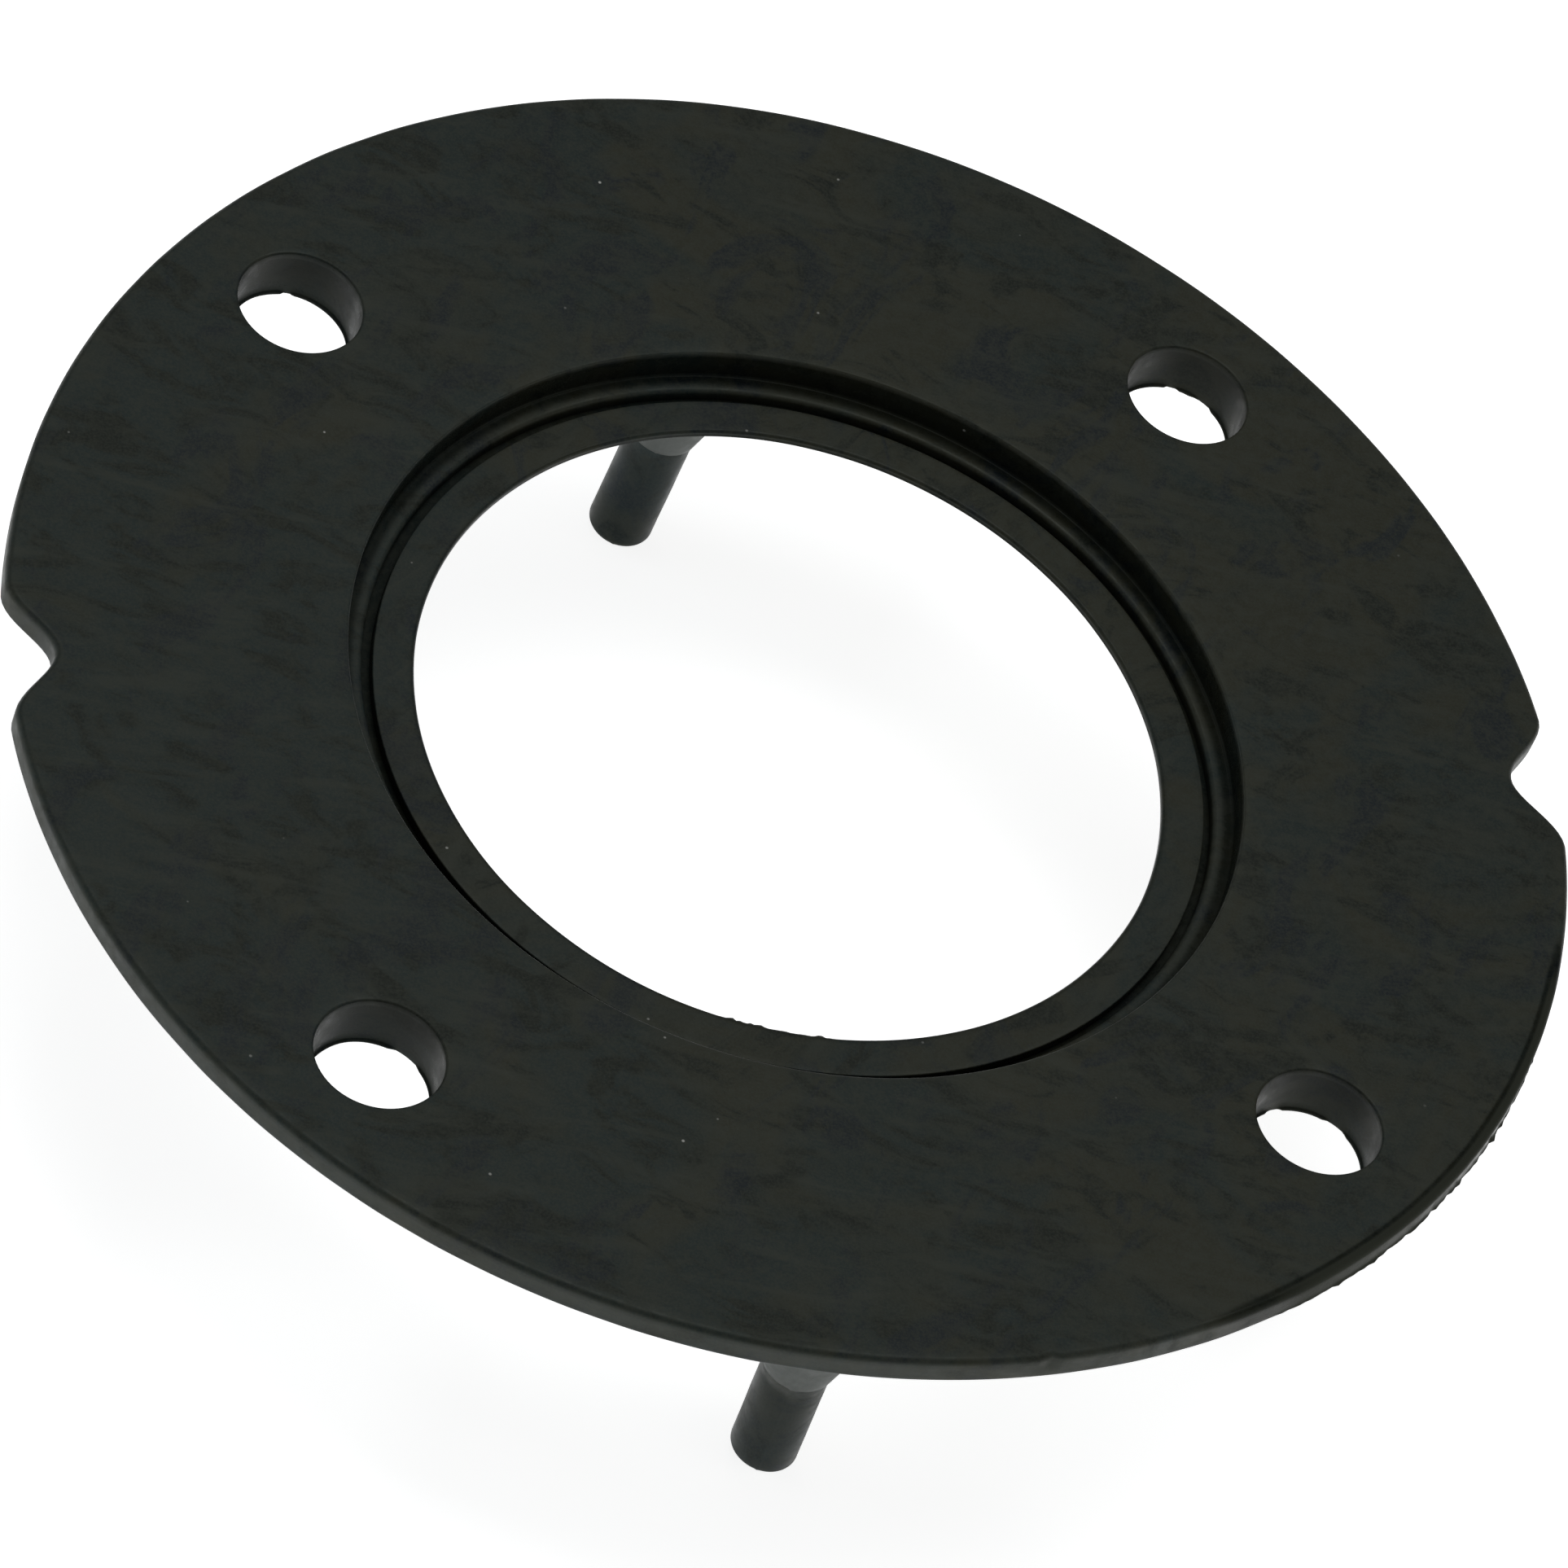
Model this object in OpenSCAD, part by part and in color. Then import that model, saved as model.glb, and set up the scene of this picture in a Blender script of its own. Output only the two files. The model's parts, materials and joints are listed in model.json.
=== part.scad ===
// Moulded rubber toilet flange seal: a stepped ring with four bolt holes, two
// rim notches, a separate sealing lip and two pull-through pegs underneath.
// Origin: centre of the pipe opening, on the underside pad. +Z points to the top face.

/* [Flange ring] */
// Outside diameter of the rim
flange_d = 178; // [176:1:186]
// Thickness from the underside pad to the top face
flange_t = 7; // [6.5:0.5:9]
// Thickness of the thin rim outside the pad
rim_t = 3.4; // [2.5:0.1:4.5]
// Diameter of the thick pad under the ring
pad_d = 165.2; // [163:0.2:166]
// Diameter of the stepped opening in the top face
recess_d = 102; // [100:0.5:104]
// Depth of the opening's ledge below the top face
recess_depth = 3.9; // [3:0.1:4.5]

/* [Bolt holes] */
// Number of bolt holes
bolt_count = 4; // [4]
// Diameter of a bolt hole
bolt_hole_d = 14.3; // [11:0.1:14.5]
// Diameter of the circle through the hole centres
bolt_circle_d = 148; // [140:1:149]

/* [Rim notches] */
// Depth of a notch in from the rim
notch_depth = 5.4; // [3:0.1:6]
// Half of a notch's width at the rim
notch_half_w = 9.5; // [6:0.5:12]

/* [Sealing lip] */
// Diameter of the pipe opening in the lip
lip_bore_d = 85.5; // [84:0.5:88]
// Thickness of the lip at the pipe opening
lip_t = 1; // [0.8:0.1:1.5]
// Width of the narrow gap around the lip's land
lip_gap = 1.1; // [0.6:0.1:1.6]
// Thickness of the foot that the lip stands on
foot_t = 0.6; // [0.4:0.1:0.8]

/* [Pegs] */
// Distance from the centre to each peg's axis
peg_reach = 66; // [62:1:68]
// Diameter of the straight tail
tail_d = 7.7; // [6:0.1:8.4]
// Diameter of the neck and of its spigot in the ring
neck_d = 9.6; // [8.8:0.1:10.4]
// Diameter of the barb's shoulder
barb_d = 13.6; // [12:0.1:15]
// Length of the neck below the underside
neck_l = 13.6; // [5:0.1:16]
// Length of the barb's cone
barb_l = 10.4; // [8:0.1:14]
// Length of the straight tail
tail_l = 15.2; // [8:0.1:30]
// Depth of the blind socket for the spigot
socket_depth = 4; // [3:0.5:5]

/* [Hidden] */

$fn = 160;
rubber = [0.157, 0.167, 0.155];
lip_rubber = [0.145, 0.155, 0.148];
peg_rubber = [0.18, 0.2, 0.2];

flange_r = flange_d / 2;
pad_r = pad_d / 2;
recess_r = recess_d / 2;
rim_z = flange_t - rim_t;
ledge_z = flange_t - recess_depth;
ledge_w = 2.4;
seat_z = 1;
seat_w = 3.6;
seat_bore_r = recess_r - ledge_w;
lip_r = lip_bore_d / 2;
land_r = seat_bore_r - lip_gap;
seat_inner_r = seat_bore_r - seat_w;

top_round = 0.8;
rim_foot_round = 0.5;
pad_round = 0.8;
opening_round = 0.4;
ledge_round = 0.6;
lip_round = 0.45;
tip_round = 0.6;
barb_land = 0.8;
overcut = 1;
notch_steps = 36;

// Points of a rounded corner about a centre (r, z), from angle a0 to a1
function corner(r, z, radius, a0, a1, steps = 4) =
    [for (i = [0 : steps]) let (a = a0 + (a1 - a0) * i / steps)
        [r + radius * cos(a), z + radius * sin(a)]];

// Distance from the axis to the notch's edge, where s runs from -1 to 1 across it
function notch_r(s) = flange_r - notch_depth * (1 + cos(180 * s)) / 2;

// Half of the angle that a notch takes at the rim
notch_half_a = notch_half_w / flange_r * 180 / PI;

module ring_profile() {
    polygon(concat(
        [[seat_inner_r, 0]],
        corner(pad_r - pad_round, pad_round, pad_round, -90, 0),
        [[pad_r, rim_z]],
        corner(flange_r - rim_foot_round, rim_z + rim_foot_round, rim_foot_round, -90, 0),
        corner(flange_r - top_round, flange_t - top_round, top_round, 0, 90),
        corner(recess_r + opening_round, flange_t - opening_round, opening_round, 90, 180),
        [[recess_r, ledge_z]],
        corner(seat_bore_r + ledge_round, ledge_z - ledge_round, ledge_round, 90, 180),
        [[seat_bore_r, seat_z], [seat_inner_r, seat_z]]
    ));
}

module lip_profile() {
    polygon(concat(
        [
            [seat_inner_r, seat_z],
            [seat_bore_r, seat_z],
            [seat_bore_r, seat_z + foot_t],
            [land_r, seat_z + foot_t],
            [land_r, ledge_z]
        ],
        corner(lip_r + lip_round, ledge_z - lip_round, lip_round, 90, 180),
        [[lip_r, ledge_z - lip_t], [seat_inner_r, ledge_z - lip_t]]
    ));
}

module peg_profile() {
    barb_z = -neck_l;
    cone_z = barb_z - barb_l;
    tip_z = cone_z - tail_l;
    polygon(concat(
        [
            [0, tip_z],
            [tail_d / 2 - tip_round, tip_z]
        ],
        corner(tail_d / 2 - tip_round, tip_z + tip_round, tip_round, -90, 0),
        [
            [tail_d / 2, cone_z],
            [barb_d / 2, barb_z - barb_land],
            [barb_d / 2, barb_z],
            [neck_d / 2, barb_z],
            [neck_d / 2, socket_depth],
            [0, socket_depth]
        ]
    ));
}

module bolt_holes() {
    for (i = [0 : bolt_count - 1])
        rotate([0, 0, 45 + 360 / bolt_count * i])
            translate([bolt_circle_d / 2, 0, -overcut])
                cylinder(h = flange_t + 2 * overcut, d = bolt_hole_d);
}

module notch_cut() {
    edge = [for (i = [-notch_steps / 2 : notch_steps / 2])
        let (s = 2 * i / notch_steps, a = notch_half_a * s)
        notch_r(s) * [cos(a), sin(a)]];
    outside = [for (s = [1, -1]) (flange_r + overcut) * [cos(notch_half_a), s * sin(notch_half_a)]];
    translate([0, 0, rim_z - overcut])
        linear_extrude(rim_t + 2 * overcut)
            polygon(concat(edge, outside));
}

module peg_sockets() {
    for (side = [-1, 1])
        translate([0, side * peg_reach, -overcut])
            cylinder(h = socket_depth + overcut, d = neck_d);
}

module flange_ring() {
    color(rubber)
        difference() {
            rotate_extrude() ring_profile();
            bolt_holes();
            peg_sockets();
            for (turn = [0, 180])
                rotate([0, 0, turn]) notch_cut();
        }
}

module lip_ring() {
    color(lip_rubber) rotate_extrude() lip_profile();
}

module peg(side) {
    color(peg_rubber)
        translate([0, side * peg_reach, 0])
            rotate_extrude($fn = 64) peg_profile();
}

module peg_front() {
    peg(-1);
}

module peg_rear() {
    peg(1);
}

flange_ring();
lip_ring();
peg_front();
peg_rear();
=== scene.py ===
"""Looks of the rubber toilet flange seal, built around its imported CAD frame.

Shapes are worked out in millimetres and turned into metres when a mesh is made.
Sizes that the frame's boxes and mounts give are read from them; the rest are named below.
"""

import json
import math

import bmesh
import bpy
import numpy as np
from mathutils import Matrix, Vector, noise


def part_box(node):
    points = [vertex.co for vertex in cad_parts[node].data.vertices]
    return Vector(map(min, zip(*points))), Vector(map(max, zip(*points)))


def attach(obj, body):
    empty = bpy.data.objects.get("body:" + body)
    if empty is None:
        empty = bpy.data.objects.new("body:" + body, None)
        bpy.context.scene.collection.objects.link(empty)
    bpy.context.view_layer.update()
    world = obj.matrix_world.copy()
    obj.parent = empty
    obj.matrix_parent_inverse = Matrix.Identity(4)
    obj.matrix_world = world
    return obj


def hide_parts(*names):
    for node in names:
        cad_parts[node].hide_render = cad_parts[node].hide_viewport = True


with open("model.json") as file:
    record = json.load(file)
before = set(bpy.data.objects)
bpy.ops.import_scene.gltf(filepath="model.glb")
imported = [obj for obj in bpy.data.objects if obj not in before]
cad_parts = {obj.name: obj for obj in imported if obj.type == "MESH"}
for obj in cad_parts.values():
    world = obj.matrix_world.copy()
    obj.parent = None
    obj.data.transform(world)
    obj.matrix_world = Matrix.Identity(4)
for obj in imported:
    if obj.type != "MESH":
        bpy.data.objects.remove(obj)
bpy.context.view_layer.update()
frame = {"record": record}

MM = 0.001
FULL_TURN = 2 * math.pi

# ---------------------------------------------------------------- sizes read from the frame, in mm
mounts = {mount["name"]: mount for mount in frame["record"]["mounts"]}
flange_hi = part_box("flange_ring")[1] / MM
lip_lo, lip_hi = (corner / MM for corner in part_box("lip_ring"))
peg_lo, peg_hi = (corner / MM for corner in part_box("peg_rear"))

flange_r = flange_hi.y
top_z = flange_hi.z
bolt_r = mounts["bolt_holes"]["dims"]["hole_r_mm"]
bolt_circle_r = mounts["bolt_holes"]["dims"]["pcd_mm"] / 2
lip_r = mounts["pipe_lip"]["dims"]["r_mm"]
tail_r = mounts["peg_tails"]["dims"]["stud_r_mm"]
peg_reach = (peg_lo.y + peg_hi.y) / 2
barb_r = (peg_hi.y - peg_lo.y) / 2
peg_tip_z = peg_lo.z
spigot_z = peg_hi.z
ledge_z = lip_hi.z
seat_z = lip_lo.z
seat_bore_r = lip_hi.x

# ---------------------------------------------------------------- the other sizes, in mm
rim_t = 3.4
pad_r = 82.6
recess_r = 51.0
seat_inner_r = 45.0
land_r = 47.5
lip_t = 1.0
foot_t = 0.6
notch_depth = 5.4
notch_half_w = 9.5
neck_r = 4.8
neck_l = 13.6
barb_l = 10.4
barb_land = 0.8
rim_z = top_z - rim_t

top_round = 0.8
foot_round = 0.5
pad_round = 0.8
opening_round = 0.28
ledge_round = 0.6
inner_fillet = 0.35
inner_round = 0.3
land_round = 0.15
lip_round = 0.45
lip_chamfer = 0.12
hole_round = 0.3
hole_foot = 0.15
root_round = 0.5
barb_round = 0.3
tip_round = 0.6
spigot_play = 0.02

# How far the flexed rim rises or falls: along the notches, and along the bolt holes
flex_rise = -1.18
flex_twist = -0.67

# How far the lip's land sits towards the front in its slot
land_shift = 0.32

# How far each peg's tip hangs off its axis in x and y, by side: -1 is the front, 1 the rear
tail_lean = {-1: (0.0, 0.0), 1: (-1.57, -2.31)}

# ---------------------------------------------------------------- moulding faults
# Angles are in degrees, anticlockwise from +X, but the tag's half angle is in radians.
# Lengths are in mm, and flash_z and nick_foot are above the rim's foot.
# A range says where a fault starts, is at its full, starts to end and has ended.
flash_range = (298, 306, 332, 342)
flash_z = 0.25
flash_spread = 0.2
torn_rim_range = (285, 305, 338, 350)
lip_burr_range = (252, 255, 267, 270)
nick_at = 281.2
nick_spread = 0.45
nick_depth = 0.45
nick_foot = 0.6

# Middle and width of each tear in the web round a bolt hole's lower edge, by hole
web_tears = {1: ((80, 7), (47, 14)), 2: ((86, 4),), 3: ((47, 24),), 4: ((108, 9), (46, 16))}
web_reach = 0.34
web_top = 0.5
# The web's section: share of its width, and height above the underside
web_section = ((0.25, 0.34), (1.0, 0.24), (1.0, 0.1), (0.2, 0.02))

seam_at = {-1: 250, 1: 70}
seam_height = 0.07
seam_spread = 0.18
tag_at = 256
tag_reach = 0.32
tag_drop = 0.1
tag_half_angle = 0.14
tag_half_height = 0.22

# ---------------------------------------------------------------- wear and painted light and shade, which the material reads
TORN = -2.0
SMOOTH_SHADED = -1.0
PLAIN = 0.0
SCUFFED = 1.4
PAINTED_FLOOR_LIGHT = 3.0

# ---------------------------------------------------------------- mesh density
columns = 672
peg_columns = 128
fine_loops = 25
fine_from, fine_to = 58.0, 81.7
patch_layers = 4
rim_top_steps = 7
# Loops of the fine grid that a hole's patch lies between, and its half width in columns
hole_patch = (8, fine_loops - 1, 16)
socket_patch = (1, 15, 11)
SHARP_ANGLE = math.radians(50)


def smooth_step(low, high, value):
    """0 below low, 1 above high, and a smooth rise between them."""
    share = min(1.0, max(0.0, (value - low) / (high - low)))
    return share * share * (3 - 2 * share)


def within(turn, start, full, wane, end):
    """1 from full to wane, 0 before start and after end, and smooth between."""
    return smooth_step(start, full, turn) * (1 - smooth_step(wane, end, turn))


def wave(x, y, z, size, seed):
    """Smooth noise from -1 to 1, whose features are about `size` across."""
    return noise.noise(Vector((x / size + seed, y / size - seed, z / size + 3 * seed)))


def flexed(x, y, z):
    """Where a point goes as the rubber ring lies slightly flexed, its rim up on two sides."""
    rise, twist = flex_rise / flange_r**2, flex_twist / flange_r**2
    lift = rise * (x * x - y * y) + 2 * twist * x * y
    slope_x = 2 * (rise * x + twist * y)
    slope_y = 2 * (twist * x - rise * y)
    below = top_z - z
    return x + slope_x * below, y + slope_y * below, z + lift


def arc(radius_at, z_at, radius, start, end, steps):
    """Points (r, z) of a rounded corner round a centre, angles in degrees."""
    angles = (math.radians(start + (end - start) * i / steps) for i in range(steps + 1))
    return [(radius_at + radius * math.cos(a), z_at + radius * math.sin(a)) for a in angles]


def spaced(start, end, count):
    """Evenly spaced numbers from start to end, without the start itself."""
    return [start + (end - start) * i / count for i in range(1, count + 1)]


def between(start, end, count):
    """Evenly spaced (r, z) points from start to end, without the start itself."""
    return list(zip(spaced(start[0], end[0], count), spaced(start[1], end[1], count)))


def with_wear_and_painted_light(points, wear):
    """Profile points (r, z, wear and painted light) that all have the same value of it."""
    return [(r, z, wear) for r, z in points]


def new_object(name, data):
    """An object in the scene that holds the data."""
    made = bpy.data.objects.new(name, data)
    bpy.context.scene.collection.objects.link(made)
    return made


class Shell:
    """Vertices in mm with their wear and painted light, and faces."""

    def __init__(self):
        self.points = []
        self.wear = []
        self.faces = []

    def add(self, points, wear=PLAIN):
        """Adds points, with one wear and painted light value for all or a list of them. Returns
        their numbers.
        """
        first = len(self.points)
        self.points.extend(points)
        self.wear.extend(wear if isinstance(wear, list) else [wear] * len(points))
        return list(range(first, len(self.points)))

    def bridge(self, a, b, skip=()):
        """Quads between two closed loops of the same length."""
        for i in range(len(a)):
            if i not in skip:
                j = (i + 1) % len(a)
                self.faces.append((a[i], a[j], b[j], b[i]))

    def skin(self, loops):
        """Quads between each loop and the next."""
        for a, b in zip(loops, loops[1:]):
            self.bridge(a, b)

    def cap(self, loop, centre):
        """Triangles from a loop to a point in its middle."""
        (middle,) = self.add([centre])
        for i in range(len(loop)):
            self.faces.append((loop[i], loop[(i + 1) % len(loop)], middle))

    def build(self, name):
        """Makes the piece, flexed and in metres, with its wear and painted light and shade as an
        attribute.
        """
        mesh = bpy.data.meshes.new(name)
        points = [tuple(c * MM for c in flexed(*p)) for p in self.points]
        mesh.from_pydata(points, [], self.faces)
        wear = mesh.attributes.new("wear", "FLOAT", "POINT")
        wear.data.foreach_set("value", np.array(self.wear, np.float32))
        work = bmesh.new()
        work.from_mesh(mesh)
        loose = [v for v in work.verts if not v.link_faces]
        bmesh.ops.delete(work, geom=loose, context="VERTS")
        bmesh.ops.recalc_face_normals(work, faces=work.faces)
        work.to_mesh(mesh)
        work.free()
        mesh.shade_smooth()
        mesh.set_sharp_from_angle(angle=SHARP_ANGLE)
        return new_object(name, mesh)


def revolve(shell, profile, shape, centre=(0.0, 0.0), steps=columns):
    """Adds a profile of (r, z, wear and painted light) turned about a vertical axis; shape moves
    each point.
    """
    loops = []
    for radius, z, wear in profile:
        loop = []
        for i in range(steps):
            a = FULL_TURN * i / steps
            r, h = shape(radius, z, a)
            loop.append((centre[0] + r * math.cos(a), centre[1] + r * math.sin(a), h))
        loops.append(shell.add(loop, wear))
    shell.skin(loops)
    return loops


# ---------------------------------------------------------------- flange ring
def rim_radius(angle):
    """Radius of the rim at an angle, with its two rounded notches."""
    half = notch_half_w / flange_r
    away = abs((angle + math.pi / 2) % math.pi - math.pi / 2)
    if away >= half:
        return flange_r
    return flange_r - notch_depth * (1 + math.cos(math.pi * away / half)) / 2


def rim_flash(angle):
    """How far the torn moulding flash stands off the rim's foot, in mm."""
    turn = math.degrees(angle) % 360
    steps = wave(turn * 1.3, 0, 0, size=1.0, seed=5.0)
    chips = wave(turn * 3.1, 0, 0, size=1.0, seed=9.0)
    return within(turn, *flash_range) * max(0.0, 0.22 + 0.35 * steps + 0.25 * chips)


def rim_wear(whole):
    """Wear of a loop at the rim: `whole` all round, but torn where the flash came off."""
    wear = []
    for i in range(columns):
        torn = within(360 * i / columns, *torn_rim_range)
        wear.append(whole + (TORN - whole) * torn)
    return wear


def rim_nick(angle, z):
    """Depth of the small nick in the near side of the rim, in mm."""
    off = (math.degrees(angle) % 360 - nick_at) / nick_spread
    return nick_depth * math.exp(-off * off) * smooth_step(rim_z + nick_foot, top_z - top_round, z)


def surface_wave(x, y):
    """Slow unevenness of the moulded faces in mm, never above zero."""
    long_wave = wave(x, y, 0, size=26, seed=1.0)
    short_wave = wave(x, y, 0, size=7, seed=2.0)
    return -0.04 + 0.03 * long_wave + 0.01 * short_wave


def flange_loop(shell, radius, z, wear, rim_share=0.0, flash=0.0):
    """One loop of the ring. rim_share 1 moves it with the notched rim; flash adds the torn edge."""
    loop = []
    for i in range(columns):
        a = FULL_TURN * i / columns
        r = radius - rim_share * (flange_r - rim_radius(a)) + flash * rim_flash(a)
        x, y = r * math.cos(a), r * math.sin(a)
        r += (0.03 * wave(x, y, z, size=5, seed=4.0) - rim_nick(a, z)) * rim_share
        height = z + (surface_wave(x, y) if z > ledge_z + 0.5 else 0.0)
        loop.append((r * math.cos(a), r * math.sin(a), height))
    return shell.add(loop, wear)


def underside_loops(shell):
    """From the inner wall out to the fine grid of the underside."""
    edge = seat_inner_r + inner_round
    loops = [flange_loop(shell, r, z, wear) for r, z, wear in (
        (seat_inner_r, seat_z, PLAIN),
        (seat_inner_r, inner_round, 0.2),
        (seat_inner_r + 0.3 * inner_round, 0.3 * inner_round, 0.6),
        (edge, 0.0, 0.2),
    )]
    for r in spaced(edge, fine_from, 8)[:-1]:
        loops.append(flange_loop(shell, r, 0.0, PLAIN))
    return loops


def outer_loops(shell):
    """The pad's wall and the thin rim, from the underside's fine grid to the top face's."""
    loops = []
    for r, z in arc(pad_r - pad_round, pad_round, pad_round, -90, 0, 6):
        loops.append(flange_loop(shell, r, z, 0.5))
    for z in spaced(pad_round, rim_z - inner_fillet, 4):
        loops.append(flange_loop(shell, pad_r, z, PLAIN))
    for r, z in arc(pad_r + inner_fillet, rim_z - inner_fillet, inner_fillet, 180, 90, 4)[1:]:
        loops.append(flange_loop(shell, r, z, PLAIN))
    foot_start = pad_r + inner_fillet
    for share in (0.25, 0.5, 0.75):
        r = foot_start + (flange_r - foot_round - foot_start) * share
        loops.append(flange_loop(shell, r, rim_z, PLAIN, rim_share=share))
    for r, z in arc(flange_r - foot_round, rim_z + foot_round, foot_round, -90, 0, 5):
        flash = math.exp(-(((z - rim_z - flash_z) / flash_spread) ** 2))
        loops.append(flange_loop(shell, r, z, rim_wear(-0.2), rim_share=1.0, flash=flash))
    for z in spaced(rim_z + foot_round, top_z - top_round, 5)[:-1]:
        loops.append(flange_loop(shell, flange_r, z, rim_wear(SCUFFED), rim_share=1.0))
    for r, z in arc(flange_r - top_round, top_z - top_round, top_round, 0, 90, 8):
        loops.append(flange_loop(shell, r, z, rim_wear(0.8), rim_share=1.0))
    top_start = flange_r - top_round
    for i in range(1, rim_top_steps):
        share = 1 - i / rim_top_steps
        r = fine_to + (top_start - fine_to) * share
        loops.append(flange_loop(shell, r, top_z, PLAIN, rim_share=share))
    return loops


def opening_loops(shell):
    """The stepped opening, from the top face's fine grid down to the lip's seat."""
    loops = []
    # Painted highlight: the opening's rounded edge is paler, most of all on the near side
    edge_painted_highlight = [
        0.1 + 1.3 * max(0.0, -math.sin(FULL_TURN * i / columns)) for i in range(columns)
    ]
    for r in spaced(fine_from, recess_r + opening_round, 6)[:-1]:
        loops.append(flange_loop(shell, r, top_z, PLAIN))
    for r, z in arc(recess_r + opening_round, top_z - opening_round, opening_round, 90, 180, 5):
        loops.append(flange_loop(shell, r, z, edge_painted_highlight))
    # Painted shade: the recess wall, its fillet and the ledge's outer part are darker, fading
    # towards the ledge's edge
    for z in spaced(top_z - opening_round, ledge_z + inner_fillet, 5):
        loops.append(flange_loop(shell, recess_r, z, SMOOTH_SHADED))
    fillet = arc(recess_r - inner_fillet, ledge_z + inner_fillet, inner_fillet, 0, -90, 4)
    for r, z in fillet[1:]:
        loops.append(flange_loop(shell, r, z, -0.8))
    edge_start = seat_bore_r + ledge_round
    ledge = spaced(recess_r - inner_fillet, edge_start, 4)[:-1]
    for r, wear in zip(ledge, (-0.8, -0.6, -0.3)):
        loops.append(flange_loop(shell, r, ledge_z, wear))
    for r, z in arc(edge_start, ledge_z - ledge_round, ledge_round, 90, 180, 6):
        loops.append(flange_loop(shell, r, z, PLAIN))
    # Painted shade on the seat's bore wall
    loops.append(flange_loop(shell, seat_bore_r, seat_z, SMOOTH_SHADED))
    return loops


def ring_patch(shell, loops, patch, angle, centre, hole_radius):
    """Replaces a block of the polar grid by rings of quads round a hole.

    Returns the hole's loop, the angles of its points and the columns that the block takes.
    """
    first, last, half_columns = patch
    middle = round(math.degrees(angle) / 360 * columns)
    c0, c1 = middle - half_columns, middle + half_columns
    around = [loops[first][c % columns] for c in range(c0, c1)]
    around += [loops[k][c1 % columns] for k in range(first, last)]
    around += [loops[last][c % columns] for c in range(c1, c0, -1)]
    around += [loops[k][c0 % columns] for k in range(last, first, -1)]
    outer = [shell.points[v] for v in around]
    angles = [math.atan2(p[1] - centre[1], p[0] - centre[0]) for p in outer]
    previous = around
    for layer in range(1, patch_layers + 1):
        share = layer / patch_layers
        ring = []
        for p, a in zip(outer, angles):
            hx = centre[0] + hole_radius * math.cos(a)
            hy = centre[1] + hole_radius * math.sin(a)
            ring.append((p[0] + (hx - p[0]) * share, p[1] + (hy - p[1]) * share, p[2]))
        current = shell.add(ring)
        shell.bridge(previous, current)
        previous = current
    return previous, angles, {c % columns for c in range(c0, c1)}


def hole_ring(shell, centre, angles, radius, z, wear=PLAIN):
    """A loop of points round a hole; radius is one number or a list of them."""
    radii = radius if isinstance(radius, list) else [radius] * len(angles)
    ring = []
    for r, a in zip(radii, angles):
        ring.append((centre[0] + r * math.cos(a), centre[1] + r * math.sin(a), z))
    return shell.add(ring, wear)


def web_width(angle, number):
    """Width of the thin moulding web left at a bolt hole's lower edge, in mm."""
    seed = 10.0 + number
    turn = math.degrees(angle) % 360
    width = web_reach
    width += 0.07 * wave(math.cos(angle), math.sin(angle), 0, size=0.5, seed=seed)
    for at, span in web_tears[number]:
        off = abs((turn - at + 180) % 360 - 180)
        jag = 0.5 + 0.5 * wave(turn, 0, 0, size=4.0, seed=seed + at)
        width *= 1 - (1 - smooth_step(span / 2, span / 2 + 5, off)) * (0.75 + 0.25 * jag)
    return width


def add_bolt_hole(shell, number, top_fine, under_fine):
    """One bolt hole through both grids. Returns the columns that it takes from them."""
    angle = math.radians(45 + 90 * (number - 1))
    centre = (bolt_circle_r * math.cos(angle), bolt_circle_r * math.sin(angle))
    edge_r = bolt_r + hole_round
    upper, angles, block = ring_patch(shell, top_fine, hole_patch, angle, centre, edge_r)
    lower, _, _ = ring_patch(shell, under_fine, hole_patch, angle, centre, bolt_r + hole_foot)
    rings = [upper]
    for r, z in arc(edge_r, top_z - hole_round, hole_round, 90, 180, 3)[1:]:
        rings.append(hole_ring(shell, centre, angles, r, z - 0.03, 0.2))
    # Painted shade: the hole's wall and the web at its foot are darker
    for z in spaced(top_z - hole_round, web_top, 8):
        rings.append(hole_ring(shell, centre, angles, bolt_r, z, -0.6))
    widths = [web_width(a, number) for a in angles]
    for share, z in web_section:
        radii = [bolt_r - share * width for width in widths]
        rings.append(hole_ring(shell, centre, angles, radii, z, -0.4))
    rings.append(lower)
    shell.skin(rings)
    return block


def add_socket(shell, side, under_fine):
    """The blind socket for a peg's spigot. Returns the columns that it takes from the grid."""
    angle = math.pi / 2 * side % FULL_TURN
    centre = (0.0, side * peg_reach)
    socket, angles, block = ring_patch(shell, under_fine, socket_patch, angle, centre, neck_r)
    wall = hole_ring(shell, centre, angles, neck_r, spigot_z)
    shell.bridge(socket, wall)
    shell.cap(wall, (*centre, spigot_z))
    return block


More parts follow.
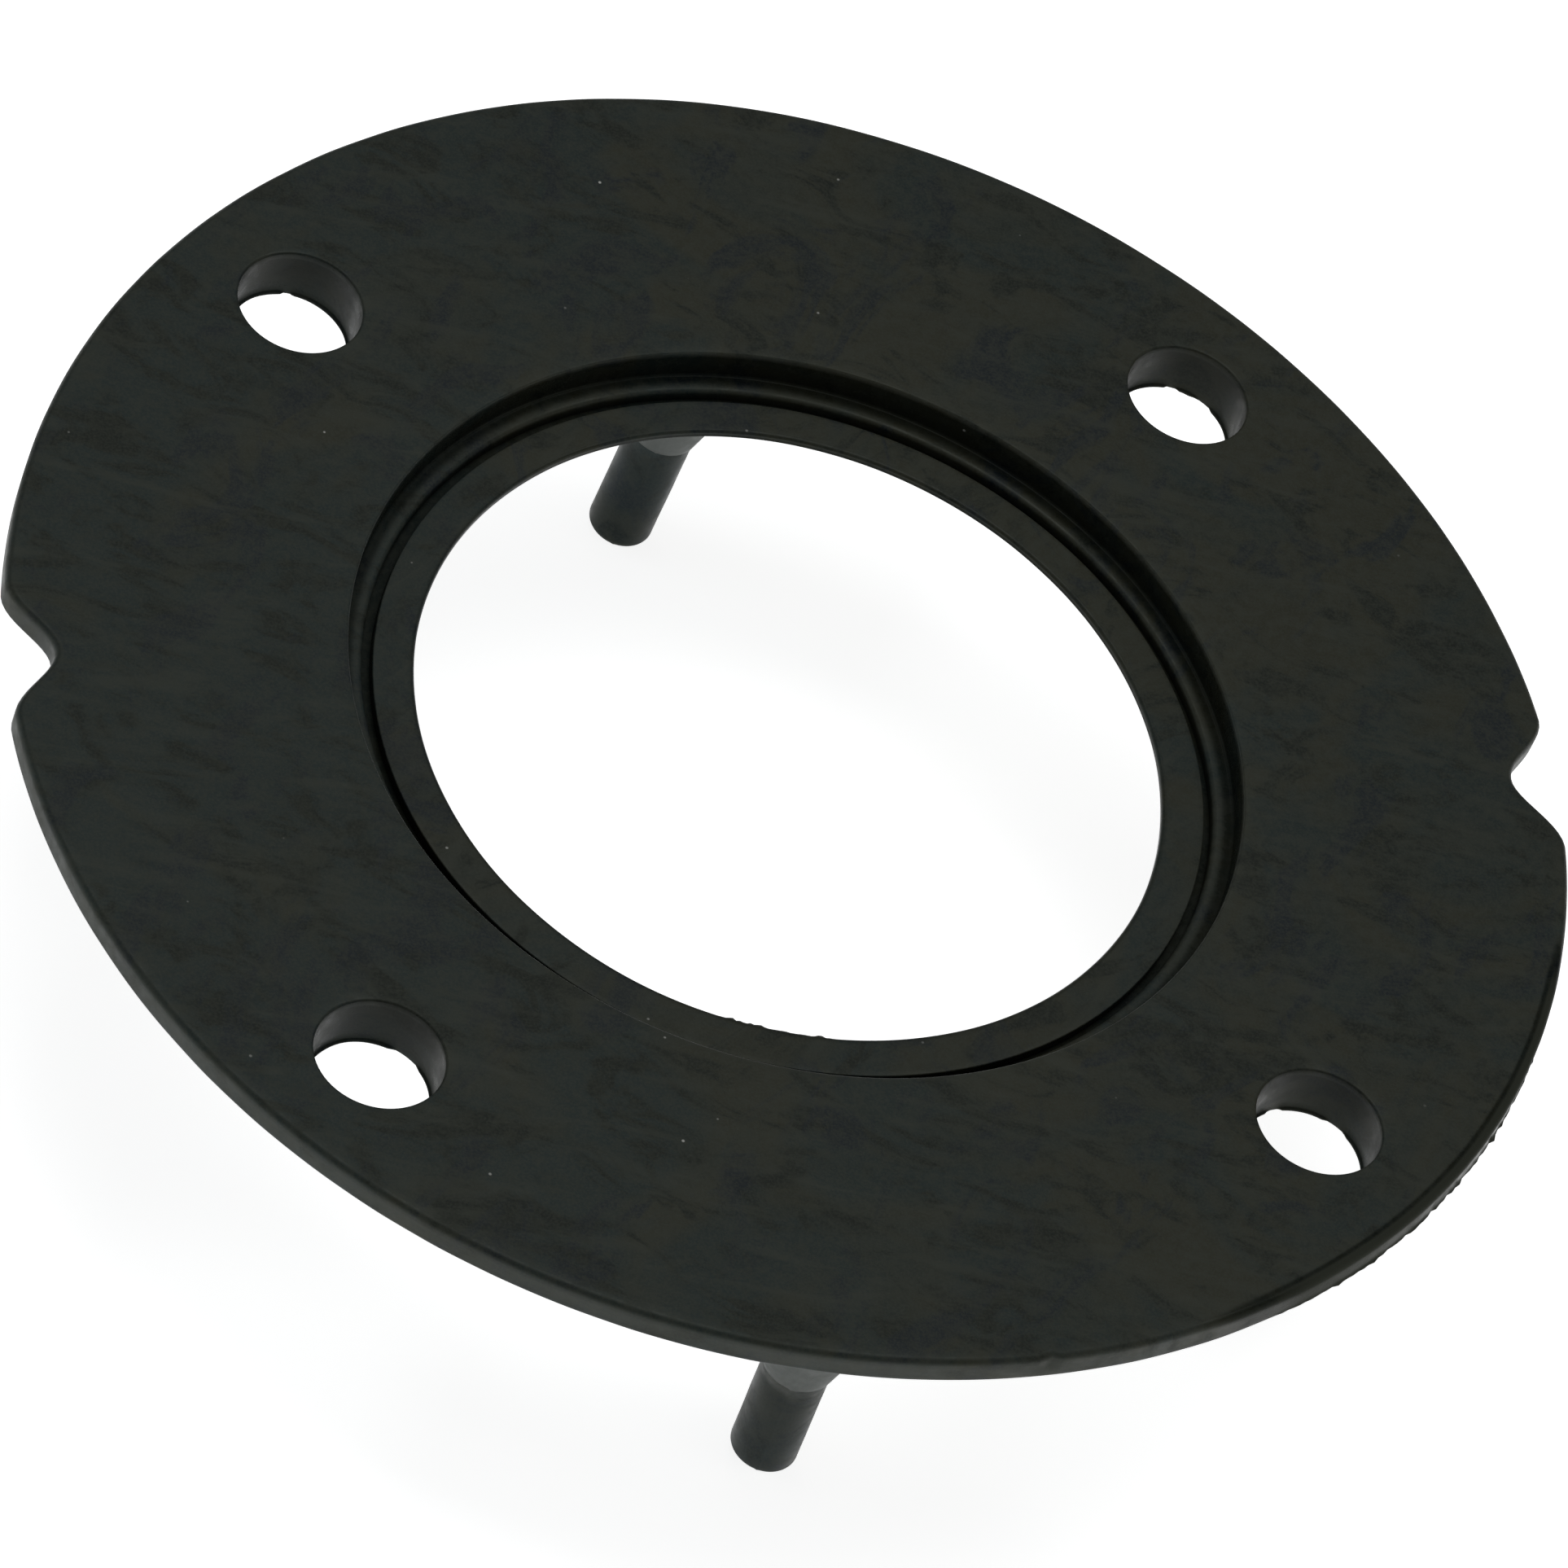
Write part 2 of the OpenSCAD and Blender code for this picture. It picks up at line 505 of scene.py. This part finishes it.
def make_flange():
    """Fine grids above and below, which leave room for the holes, and the walls that join them."""
    shell = Shell()
    fine = [fine_from] + spaced(fine_from, fine_to, fine_loops - 1)
    under = underside_loops(shell)
    under_fine = [flange_loop(shell, r, 0.0, PLAIN) for r in fine]
    outside = outer_loops(shell)
    top_fine = [flange_loop(shell, r, top_z, PLAIN) for r in fine]
    inside = opening_loops(shell)

    skip_top = [set() for _ in fine]
    skip_under = [set() for _ in fine]
    for number in (1, 2, 3, 4):
        block = add_bolt_hole(shell, number, top_fine, under_fine)
        for k in range(*hole_patch[:2]):
            skip_top[k] |= block
            skip_under[k] |= block
    for side in (1, -1):
        block = add_socket(shell, side, under_fine)
        for k in range(*socket_patch[:2]):
            skip_under[k] |= block

    for k in range(fine_loops - 1):
        shell.bridge(top_fine[k + 1], top_fine[k], skip_top[k])
        shell.bridge(under_fine[k], under_fine[k + 1], skip_under[k])
    shell.skin(under + [under_fine[0]])
    shell.skin([under_fine[-1]] + outside + [top_fine[-1]])
    shell.skin([top_fine[0]] + inside + [under[0]])
    return shell.build("flange_ring_moulded")


# ---------------------------------------------------------------- sealing lip
def lip_burr(angle):
    """Small torn burrs on the near side of the lip's opening, in mm."""
    turn = math.degrees(angle) % 360
    bumps = abs(wave(turn, 0, 0, size=1.5, seed=21.0))
    bumps += 0.6 * abs(wave(turn, 0, 0, size=0.6, seed=27.0))
    return within(turn, *lip_burr_range) * (0.06 + 0.42 * bumps)


def lip_shape(radius, z, angle):
    """Burrs at the opening, slow unevenness, and the land's shift to the front."""
    x, y = radius * math.cos(angle), radius * math.sin(angle)
    near_edge = 1 - smooth_step(lip_r, lip_r + 0.5, radius)
    radius -= near_edge * lip_burr(angle)
    radius += 0.04 * near_edge * wave(x, y, 0, size=9, seed=7.0)
    land_edge = smooth_step(land_r - 1.5, land_r - 0.2, radius)
    radius -= land_shift * land_edge * math.sin(angle) if z > seat_z + foot_t + 0.1 else 0.0
    z -= 0.03 * (1 + wave(x, y, 0, size=14, seed=8.0)) if z > ledge_z - 0.3 else 0.0
    return radius, z


def make_lip():
    """The lip ring: a foot on the seat, a land level with the ledge, and a thin free edge."""
    shell = Shell()
    under_z = ledge_z - lip_t
    foot_z = seat_z + foot_t
    land_in = land_r - land_round
    lip_in = lip_r + lip_round
    lip_foot = (lip_r + lip_chamfer, under_z)
    profile = [(seat_inner_r, seat_z, PLAIN)]
    # Painted shade: the seat's bore, the land's outer wall in the slot and the lip's inner wall are
    # darker
    profile += [(seat_bore_r, seat_z, SMOOTH_SHADED), (seat_bore_r, foot_z, SMOOTH_SHADED)]
    profile += [(land_r, foot_z, SMOOTH_SHADED)]
    profile += with_wear_and_painted_light(between((land_r, foot_z), (land_r, ledge_z - land_round), 3), SMOOTH_SHADED)
    profile += with_wear_and_painted_light(arc(land_in, ledge_z - land_round, land_round, 0, 90, 4)[1:], 0.1)
    profile += with_wear_and_painted_light(between((land_in, ledge_z), (lip_in, ledge_z), 8)[:-1], 0.15)
    profile += with_wear_and_painted_light(arc(lip_in, ledge_z - lip_round, lip_round, 90, 180, 6), -0.4)
    profile += with_wear_and_painted_light(between((lip_r, ledge_z - lip_round), (lip_r, under_z + 0.1), 3), SMOOTH_SHADED)
    profile += [(*lip_foot, 0.3)]
    profile += with_wear_and_painted_light(between(lip_foot, (seat_inner_r, under_z), 3), PLAIN)
    loops = revolve(shell, profile, lip_shape)
    shell.bridge(loops[-1], loops[0])
    return shell.build("lip_ring_moulded")


# ---------------------------------------------------------------- pegs
def make_peg(side, name):
    """A pull-through peg: spigot, neck, barb, cone and tail, from the top down."""
    shell = Shell()
    barb_z = -neck_l
    cone_z = barb_z - barb_l
    seam = math.radians(seam_at[side])

    def peg_shape(radius, z, angle):
        """Mould seams down both sides, a slight sway, and a tag where the cone meets the tail."""
        off = abs((angle - seam + math.pi / 2) % math.pi - math.pi / 2) * radius
        radius += seam_height * math.exp(-((off / seam_spread) ** 2)) if z < barb_z - 0.2 else 0.0
        x, y = radius * math.cos(angle), radius * math.sin(angle)
        radius += 0.03 * wave(x, y, z, size=4, seed=side)
        if side < 0:
            tag = (angle - math.radians(tag_at) + math.pi) % FULL_TURN - math.pi
            drop = z - cone_z + tag_drop
            spread = (tag / tag_half_angle) ** 2 + (drop / tag_half_height) ** 2
            radius += tag_reach * math.exp(-spread)
        return radius, z

    spigot_r = neck_r - spigot_play
    spigot_top = spigot_z - spigot_play
    land_z = barb_z - barb_land
    tip_in = tail_r - tip_round
    tip_top = peg_tip_z + tip_round
    tip_end = peg_tip_z + 0.02
    profile = [(spigot_r, spigot_top, PLAIN), (spigot_r, spigot_play, PLAIN)]
    root = arc(neck_r + root_round, -root_round - 0.01, root_round, 90, 180, 4)
    profile += with_wear_and_painted_light(root, PLAIN)
    profile += with_wear_and_painted_light(between((neck_r, -root_round), (neck_r, barb_z + 0.2), 8), PLAIN)
    profile += [(neck_r + 0.2, barb_z, 0.1), (barb_r - barb_round, barb_z, 0.1)]
    shoulder = arc(barb_r - barb_round, barb_z - barb_round, barb_round, 90, 0, 4)
    profile += with_wear_and_painted_light(shoulder[1:], 0.6)
    profile += [(barb_r, land_z, 0.5)]
    # Painted floor light: the cone and the top of the step below it are painted pale grey
    profile += with_wear_and_painted_light(between((barb_r, land_z), (tail_r + 0.3, cone_z + 0.2), 12)[:-1], PAINTED_FLOOR_LIGHT)
    # A small step where the cone meets the tail
    profile += [(tail_r + 0.28, cone_z + 0.14, 2.4), (tail_r + 0.04, cone_z - 0.06, -0.3)]
    # Painted shade: the tail is darker
    profile += with_wear_and_painted_light(between((tail_r, cone_z - 0.2), (tail_r, tip_top), 10), -0.45)
    profile += with_wear_and_painted_light(arc(tip_in, tip_top, tip_round, 0, -90, 6)[1:], 0.5)
    profile += [(r, tip_end, PLAIN) for r in (2.4, 1.5, 0.7)]
    centre = (0.0, side * peg_reach)
    loops = revolve(shell, profile, peg_shape, centre, peg_columns)
    shell.cap(loops[0], (*centre, spigot_top))
    shell.cap(loops[-1], (*centre, tip_end))
    lean_x, lean_y = tail_lean[side]
    for i, (x, y, z) in enumerate(shell.points):
        share = min(0.0, (z - barb_z) / (barb_z - peg_tip_z)) ** 2
        shell.points[i] = (x + lean_x * share, y + lean_y * share, z)
    return shell.build(name)


# ---------------------------------------------------------------- materials
class Nodes:
    """Short calls for the nodes that a material is made of."""

    def __init__(self, name):
        self.material = bpy.data.materials.new(name)
        self.material.use_nodes = True
        self.tree = self.material.node_tree
        self.shader = self.tree.nodes["Principled BSDF"]
        self.coordinates = self.node("ShaderNodeTexCoord").outputs["Object"]

    def node(self, kind, **values):
        made = self.tree.nodes.new(kind)
        for key, value in values.items():
            setattr(made, key, value)
        return made

    def link(self, source, target):
        self.tree.links.new(source, target)

    def along(self, turn, length):
        """Coordinates in which features are `length` times as long in the direction `turn`."""
        mapping = self.node("ShaderNodeMapping", vector_type="TEXTURE")
        mapping.inputs["Scale"].default_value = (length, 1.0, 1.0)
        mapping.inputs["Rotation"].default_value[2] = math.radians(turn)
        self.link(self.coordinates, mapping.inputs["Vector"])
        return mapping.outputs["Vector"]

    def noise(self, size, detail, roughness, vector=None, distortion=0.0):
        """Noise from 0 to 1 with features of about `size` mm."""
        made = self.node("ShaderNodeTexNoise")
        made.inputs["Scale"].default_value = 1 / (size * MM)
        made.inputs["Detail"].default_value = detail
        made.inputs["Roughness"].default_value = roughness
        made.inputs["Distortion"].default_value = distortion
        self.link(vector or self.coordinates, made.inputs["Vector"])
        return made.outputs["Fac"]

    def ramp(self, source, low, high, out_low=0.0, out_high=1.0):
        """Smoothly from out_low at low to out_high at high."""
        made = self.node("ShaderNodeMapRange", interpolation_type="SMOOTHSTEP")
        self.link(source, made.inputs["Value"])
        made.inputs["From Min"].default_value = low
        made.inputs["From Max"].default_value = high
        made.inputs["To Min"].default_value = out_low
        made.inputs["To Max"].default_value = out_high
        return made.outputs["Result"]

    def math(self, operation, a, b):
        made = self.node("ShaderNodeMath", operation=operation)
        for socket, value in zip(made.inputs, (a, b)):
            if isinstance(value, (int, float)):
                socket.default_value = value
            else:
                self.link(value, socket)
        return made.outputs["Value"]

    def mix(self, share, a, b):
        """Colour a at share 0, colour b at share 1."""
        made = self.node("ShaderNodeMix", data_type="RGBA")
        for socket, value in ((0, share), (6, a), (7, b)):
            if isinstance(value, (tuple, int, float)):
                made.inputs[socket].default_value = value
            else:
                self.link(value, made.inputs[socket])
        return made.outputs[2]


def colour(red, green, blue):
    return (red, green, blue, 1.0)


warm_black = colour(0.0208, 0.0204, 0.0122)
cool_black = colour(0.0092, 0.0160, 0.0162)
deep_black = colour(0.0046, 0.0062, 0.0046)
blue_black = colour(0.0042, 0.0074, 0.0124)
pale_black = colour(0.0310, 0.0336, 0.0262)
painted_floor_light_grey = colour(0.1180, 0.1240, 0.1180)
dust_grey = colour(0.5, 0.5, 0.47)
dust_spacing = 5.0
bump_height = 0.04


def dusted(n, base, across, dust):
    """Sparse pale specks, most of them on the ring's -X side."""
    cells = n.node("ShaderNodeTexVoronoi", feature="F1")
    cells.inputs["Scale"].default_value = 1 / (dust_spacing * MM)
    n.link(n.coordinates, cells.inputs["Vector"])
    dot = n.ramp(cells.outputs["Distance"], 0.02, 0.045, 1.0, 0.0)
    split = n.node("ShaderNodeSeparateColor")
    n.link(cells.outputs["Color"], split.inputs["Color"])
    chosen = n.ramp(split.outputs["Red"], 0.6, 0.62)
    bright = n.ramp(split.outputs["Green"], 0.0, 1.0, 0.25, 1.0)
    lying = n.ramp(across, -20 * MM, 40 * MM, 1.0, 0.3)
    bright = n.math("MULTIPLY", bright, lying)
    speck = n.math("MULTIPLY", n.math("MULTIPLY", dot, chosen), bright)
    return n.mix(n.math("MULTIPLY", speck, dust), base, dust_grey)


def rubber(name, dust=0.0, streak_turn=-21.0, cast=(0.92, 1.0, 0.9)):
    """Matt black moulded rubber: warm and cool mottling, wiped streaks, fine grain and dust, with
    painted light and shade read from the mesh.
    """
    n = Nodes(name)
    place = n.node("ShaderNodeSeparateXYZ")
    n.link(n.coordinates, place.inputs["Vector"])
    across = place.outputs["X"]

    # Warm to cool over the whole ring, broken up by large patches
    cooler = n.ramp(across, -75 * MM, 60 * MM, 0.1, -0.06)
    slow = n.math("ADD", n.noise(24, detail=4, roughness=0.6, distortion=0.9), cooler)
    base = n.mix(n.ramp(slow, 0.42, 0.6), warm_black, cool_black)

    # Dark stains one way, blue-black ones across them, and pale wiped streaks
    stains = n.along(streak_turn, length=1.9)
    streaks = n.noise(6.0, detail=6, roughness=0.62, vector=stains, distortion=1.3)
    base = n.mix(n.ramp(streaks, 0.5, 0.62), base, deep_black)
    crossing = n.along(streak_turn + 74, length=1.8)
    cross = n.noise(10.0, detail=6, roughness=0.62, vector=crossing, distortion=1.2)
    base = n.mix(n.ramp(cross, 0.53, 0.63, 0.0, 0.9), base, blue_black)
    wiping = n.along(streak_turn + 12, length=4.5)
    wiped = n.noise(3.4, detail=5, roughness=0.6, vector=wiping, distortion=0.8)
    base = n.mix(n.ramp(wiped, 0.5, 0.7, 0.0, 0.55), base, pale_black)

    mottle = n.noise(1.3, detail=3, roughness=0.6)
    base = n.mix(n.ramp(mottle, 0.4, 0.68, 0.0, 0.45), base, pale_black)
    grain = n.noise(0.3, detail=2, roughness=0.6)
    base = n.mix(n.ramp(grain, 0.36, 0.7, 0.0, 0.5), base, pale_black)

    # Painted shade darkens the smooth walls in the holes, recess and slots and the peg tails; torn
    # and scuffed surfaces are paler, and the peg cones get painted floor light
    wear = n.node("ShaderNodeAttribute", attribute_name="wear").outputs["Fac"]
    smooth_shaded = n.ramp(wear, SMOOTH_SHADED, PLAIN, 1.0, 0.0)
    base = n.mix(n.math("MULTIPLY", smooth_shaded, 0.6), base, deep_black)
    torn = n.ramp(wear, TORN, -1.2, 1.0, 0.0)
    base = n.mix(torn, base, pale_black)
    patchy = n.ramp(n.noise(2.2, detail=4, roughness=0.7), 0.3, 0.7, 0.1, 0.5)
    base = n.mix(n.math("MULTIPLY", wear, patchy), base, pale_black)
    # Painted floor light: pale grey on the peg cones, and a little on the scuffed rim
    base = n.mix(n.ramp(wear, 1.0, PAINTED_FLOOR_LIGHT, 0.0, 0.5), base, painted_floor_light_grey)
    if dust:
        base = dusted(n, base, across, dust)
    n.link(base, n.shader.inputs["Base Color"])

    streak_rough = n.ramp(streaks, 0.3, 0.7, 0.0, 0.14)
    rough = n.math("ADD", streak_rough, n.ramp(mottle, 0.3, 0.7, 0.38, 0.5))
    rough = n.math("SUBTRACT", rough, n.math("MULTIPLY", smooth_shaded, 0.25))
    n.link(rough, n.shader.inputs["Roughness"])
    sheen = n.ramp(smooth_shaded, 0.0, 1.0, 0.22, 0.06)
    sheen = n.math("MULTIPLY", sheen, n.ramp(torn, 0.0, 1.0, 1.0, 0.15))
    n.link(sheen, n.shader.inputs["Specular IOR Level"])
    n.shader.inputs["Specular Tint"].default_value = colour(*cast)

    fine = n.math("MULTIPLY", n.noise(0.5, detail=4, roughness=0.6), 0.6)
    height = n.math("ADD", fine, n.noise(3.5, detail=3, roughness=0.5))
    bump = n.node("ShaderNodeBump")
    bump.inputs["Strength"].default_value = 0.25
    bump.inputs["Distance"].default_value = bump_height * MM
    n.link(height, bump.inputs["Height"])
    n.link(bump.outputs["Normal"], n.shader.inputs["Normal"])
    return n.material


def dress(piece, material, nodes):
    """Gives a piece its material, parents it to the root body and hides the CAD parts that it
    stands for.
    """
    piece.data.materials.append(material)
    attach(piece, "root")
    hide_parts(*nodes)


dress(make_flange(), rubber("flange_rubber_matt", dust=0.8), ["flange_ring"])
dress(
    make_lip(), rubber("lip_rubber_matt", dust=0.5, streak_turn=35.0), ["lip_ring"]
)
peg_material = rubber("peg_rubber_matt", streak_turn=80.0, cast=(0.8, 1.0, 1.04))
for side, node in ((-1, "peg_front"), (1, "peg_rear")):
    dress(make_peg(side, f"{node}_moulded"), peg_material, [node])


# ---------------------------------------------------------------- floor, light and camera
floor_half = 3.0
floor_glow = 0.83


def make_floor():
    """A plain white floor under the peg tips."""
    z = peg_tip_z * MM
    signs = ((-1, -1), (1, -1), (1, 1), (-1, 1))
    corners = [(x * floor_half, y * floor_half, z) for x, y in signs]
    mesh = bpy.data.meshes.new("floor")
    mesh.from_pydata(corners, [], [(0, 1, 2, 3)])
    floor = new_object("floor", mesh)
    n = Nodes("floor_white")
    cloudy = n.noise(180, detail=2, roughness=0.5)
    n.link(
        n.mix(cloudy, colour(0.86, 0.86, 0.86), colour(0.9, 0.9, 0.9)),
        n.shader.inputs["Base Color"],
    )
    n.shader.inputs["Roughness"].default_value = 0.9
    n.shader.inputs["Specular IOR Level"].default_value = 0.1
    n.shader.inputs["Emission Color"].default_value = colour(1.0, 1.0, 1.0)
    n.shader.inputs["Emission Strength"].default_value = floor_glow
    mesh.materials.append(n.material)


def direction(azimuth, elevation):
    """Unit vector from the ring towards a lamp or camera; azimuth 0 is at -Y, in degrees."""
    a, e = math.radians(azimuth), math.radians(elevation)
    return Vector((math.sin(a) * math.cos(e), -math.cos(a) * math.cos(e), math.sin(e)))


def make_light(name, azimuth, elevation, distance, size, power, tint=(1.0, 1.0, 1.0)):
    """A square soft light aimed at the ring's middle."""
    back = direction(azimuth, elevation)
    data = bpy.data.lights.new(name, "AREA")
    data.shape = "SQUARE"
    data.size = size
    data.energy = power
    data.color = tint
    lamp = new_object(name, data)
    lamp.location = back * distance
    lamp.rotation_mode = "QUATERNION"
    lamp.rotation_quaternion = back.to_track_quat("Z", "Y")


def make_camera(azimuth, elevation, roll, distance, aim, lens):
    """The camera at `distance` metres from `aim`, which is in mm."""
    t = math.radians(roll)
    back = direction(azimuth, elevation)
    level = Vector((0, 0, 1)).cross(back).normalized()
    rise = back.cross(level)
    right = level * math.cos(t) + rise * math.sin(t)
    up = back.cross(right)
    data = bpy.data.cameras.new("camera")
    data.lens = lens
    data.sensor_width = 36.0
    data.clip_start = 0.05
    data.clip_end = 20.0
    camera = new_object("camera", data)
    turn = Matrix((right, up, back)).transposed().to_4x4()
    camera.matrix_world = Matrix.Translation(Vector(aim) * MM + back * distance) @ turn
    bpy.context.scene.camera = camera


make_floor()
make_light("overhead", azimuth=156, elevation=78, distance=1.6, size=1.3, power=11.0)
make_light(
    "left", azimuth=-112, elevation=14, distance=1.5, size=0.9, power=2.0, tint=(0.86, 0.95, 1.0)
)
make_light(
    "right", azimuth=68, elevation=14, distance=1.5, size=0.9, power=2.0, tint=(1.0, 0.97, 0.9)
)
make_camera(
    azimuth=-24.01,
    elevation=47.50,
    roll=23.09,
    distance=1.1544,
    aim=(-3.28, -11.07, top_z),
    lens=243.0,
)

world = bpy.data.worlds.new("studio")
bpy.context.scene.world = world
world.use_nodes = True
backdrop = world.node_tree.nodes["Background"]
backdrop.inputs["Color"].default_value = colour(0.96, 0.98, 1.0)
backdrop.inputs["Strength"].default_value = 0.16
bpy.context.scene.view_settings.view_transform = "Standard"
